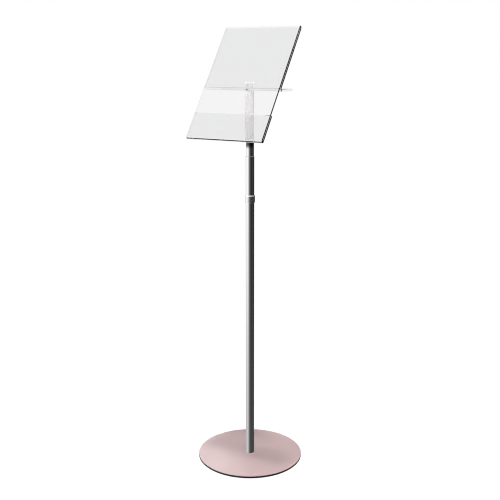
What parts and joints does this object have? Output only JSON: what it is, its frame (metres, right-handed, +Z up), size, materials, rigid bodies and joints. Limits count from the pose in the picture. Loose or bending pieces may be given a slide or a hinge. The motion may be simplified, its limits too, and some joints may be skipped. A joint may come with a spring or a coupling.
{
  "type": "sign stand",
  "caption": "Free-standing display stand: weighted round foot, polished telescopic pole with locking collar, and a leaning folded clear acrylic holder for a portrait sheet.",
  "frame": {"origin": "centre of the foot's underside, on the floor under the pole's axis", "axes": "+Z up along the pole, -Y towards the reader, +X to the reader's right"},
  "size_m": [0.28, 0.28, 1.1396],
  "materials": {
    "black_paint": "satin black",
    "rose_metal": "satin dusty rose",
    "black_rubber": "matte",
    "zinc_steel": "zinc plated",
    "plain_aluminium": "turned",
    "polished_steel": "polished",
    "white_nylon": "natural nylon",
    "light_ring": "satin",
    "collar_metal": "polished, slightly softer than the tube",
    "satin_post": "fine satin, very light",
    "clear_acrylic": "clear cast acrylic, polished edges",
    "dark_steel": "blackened"
  },
  "bodies": {
    "pole": {"base_plate": "black_paint", "base_cover": "rose_metal", "floor_ring": "black_rubber", "foot_bolt": "zinc_steel", "foot_plug": "plain_aluminium", "lower_tube": "polished_steel", "coupling_sleeve": "zinc_steel", "grip_ring": "white_nylon", "lock_shoes": "zinc_steel", "guide_sleeve": "polished_steel", "rim_ring": "light_ring"},
    "collar": {"lock_collar": "collar_metal", "collar_end_ring": "collar_metal"},
    "riser": {"slide_bush": "white_nylon"},
    "head": {"inner_tube": "polished_steel", "head_joiner": "plain_aluminium", "head_post": "satin_post", "head_plug": "plain_aluminium", "lower_washer": "white_nylon", "sign_holder": "clear_acrylic", "upper_washer": "white_nylon", "clamp_cap": "satin_post", "clamp_stud": "dark_steel"}
  },
  "joints": [
    {"name": "height_slide", "type": "slide", "parent": "pole", "child": "riser", "axis": [0, 0, 1], "range_m": [-0.036, 0.24]},
    {"name": "head_swivel", "type": "hinge", "parent": "riser", "child": "head", "pos_m": [0, 0, 0.44], "axis": [0, 0, 1], "continuous": true},
    {"name": "collar_lock", "type": "hinge", "parent": "pole", "child": "collar", "pos_m": [0, 0, 0.7112], "axis": [0, 0, 1], "range_deg": [0, 90]}
  ]
}
